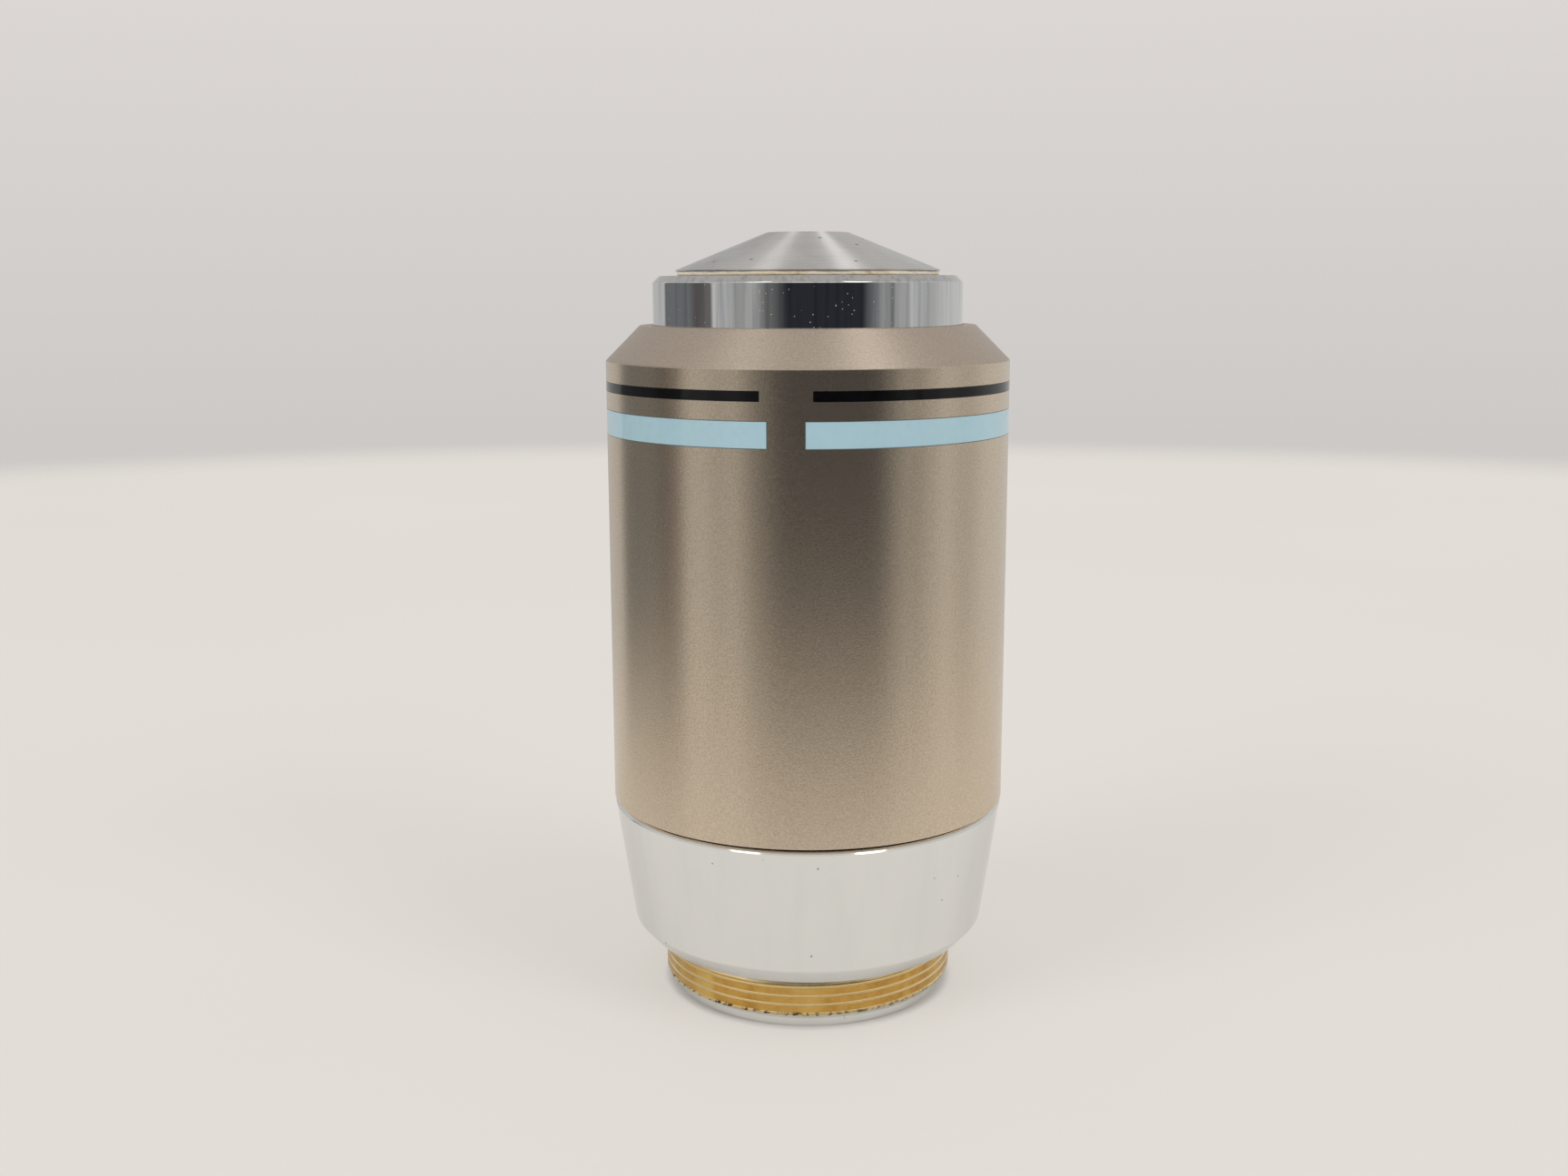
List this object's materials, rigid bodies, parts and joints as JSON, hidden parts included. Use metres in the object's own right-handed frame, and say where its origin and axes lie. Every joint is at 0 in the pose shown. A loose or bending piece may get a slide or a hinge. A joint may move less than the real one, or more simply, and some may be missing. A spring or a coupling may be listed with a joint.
{
  "type": "microscope objective",
  "caption": "Spring-loaded oil-immersion microscope objective: plated threaded foot, satin bronze barrel with two enamel bands, and a chrome nose with a conical tip that retracts and twists.",
  "frame": {"origin": "centre of the threaded foot's end face, on the surface that the objective stands on", "axes": "+Z along the optical axis towards the front lens; -Y through the middle of the gap in the enamel bands"},
  "size_m": [0.0336, 0.0336, 0.0642],
  "materials": {
    "plated_base": "bright chrome plate, bare brass thread",
    "bright_chrome": "polished",
    "satin_bronze": "bead-blasted, anodised",
    "light_blue_enamel": "gloss enamel",
    "black_enamel": "gloss enamel",
    "turned_nickel": "fine turned",
    "aged_sealant": "dried, yellowed",
    "bare_brass": "turned",
    "blackened_brass": "matt black oxide",
    "spring_steel": "drawn wire",
    "optical_glass": "coated"
  },
  "bodies": {
    "barrel": {"mounting_base": "plated_base", "body_tube": "bare_brass", "outer_sleeve": "satin_bronze", "magnification_band": "light_blue_enamel", "immersion_band": "black_enamel", "return_spring": "spring_steel", "spring_nut": "bare_brass"},
    "carriage": {"thrust_ring": "spring_steel"},
    "nose": {"lens_barrel": "blackened_brass", "front_ring": "bright_chrome", "nose_cone": "turned_nickel", "nose_seal": "aged_sealant", "guide_screw": "spring_steel", "front_lens": "optical_glass", "front_meniscus": "optical_glass", "second_lens": "optical_glass", "third_crown_lens": "optical_glass", "third_flint_lens": "optical_glass", "fourth_upper_lens": "optical_glass", "fourth_middle_lens": "optical_glass", "fourth_lower_lens": "optical_glass", "fifth_crown_lens": "optical_glass", "fifth_flint_lens": "optical_glass", "rear_negative_lens": "optical_glass", "rear_positive_lens": "optical_glass", "second_cell": "blackened_brass", "third_cell": "blackened_brass", "front_spacer": "blackened_brass", "fourth_cell": "blackened_brass", "aperture_stop": "blackened_brass", "fifth_cell": "blackened_brass", "rear_spacer": "blackened_brass", "rear_cell": "blackened_brass", "retaining_ring": "blackened_brass"}
  },
  "joints": [
    {"name": "nose_slide", "type": "slide", "parent": "barrel", "child": "carriage", "axis": [0, 0, 1], "range_m": [-0.002, 0], "stiffness_N_per_m": 500, "springref_m": 0.005, "deforming": ["return_spring"]},
    {"name": "nose_twist", "type": "hinge", "parent": "carriage", "child": "nose", "pos_m": [0, 0, 0.032], "axis": [0, 0, 1], "range_deg": [-30, 0]}
  ]
}
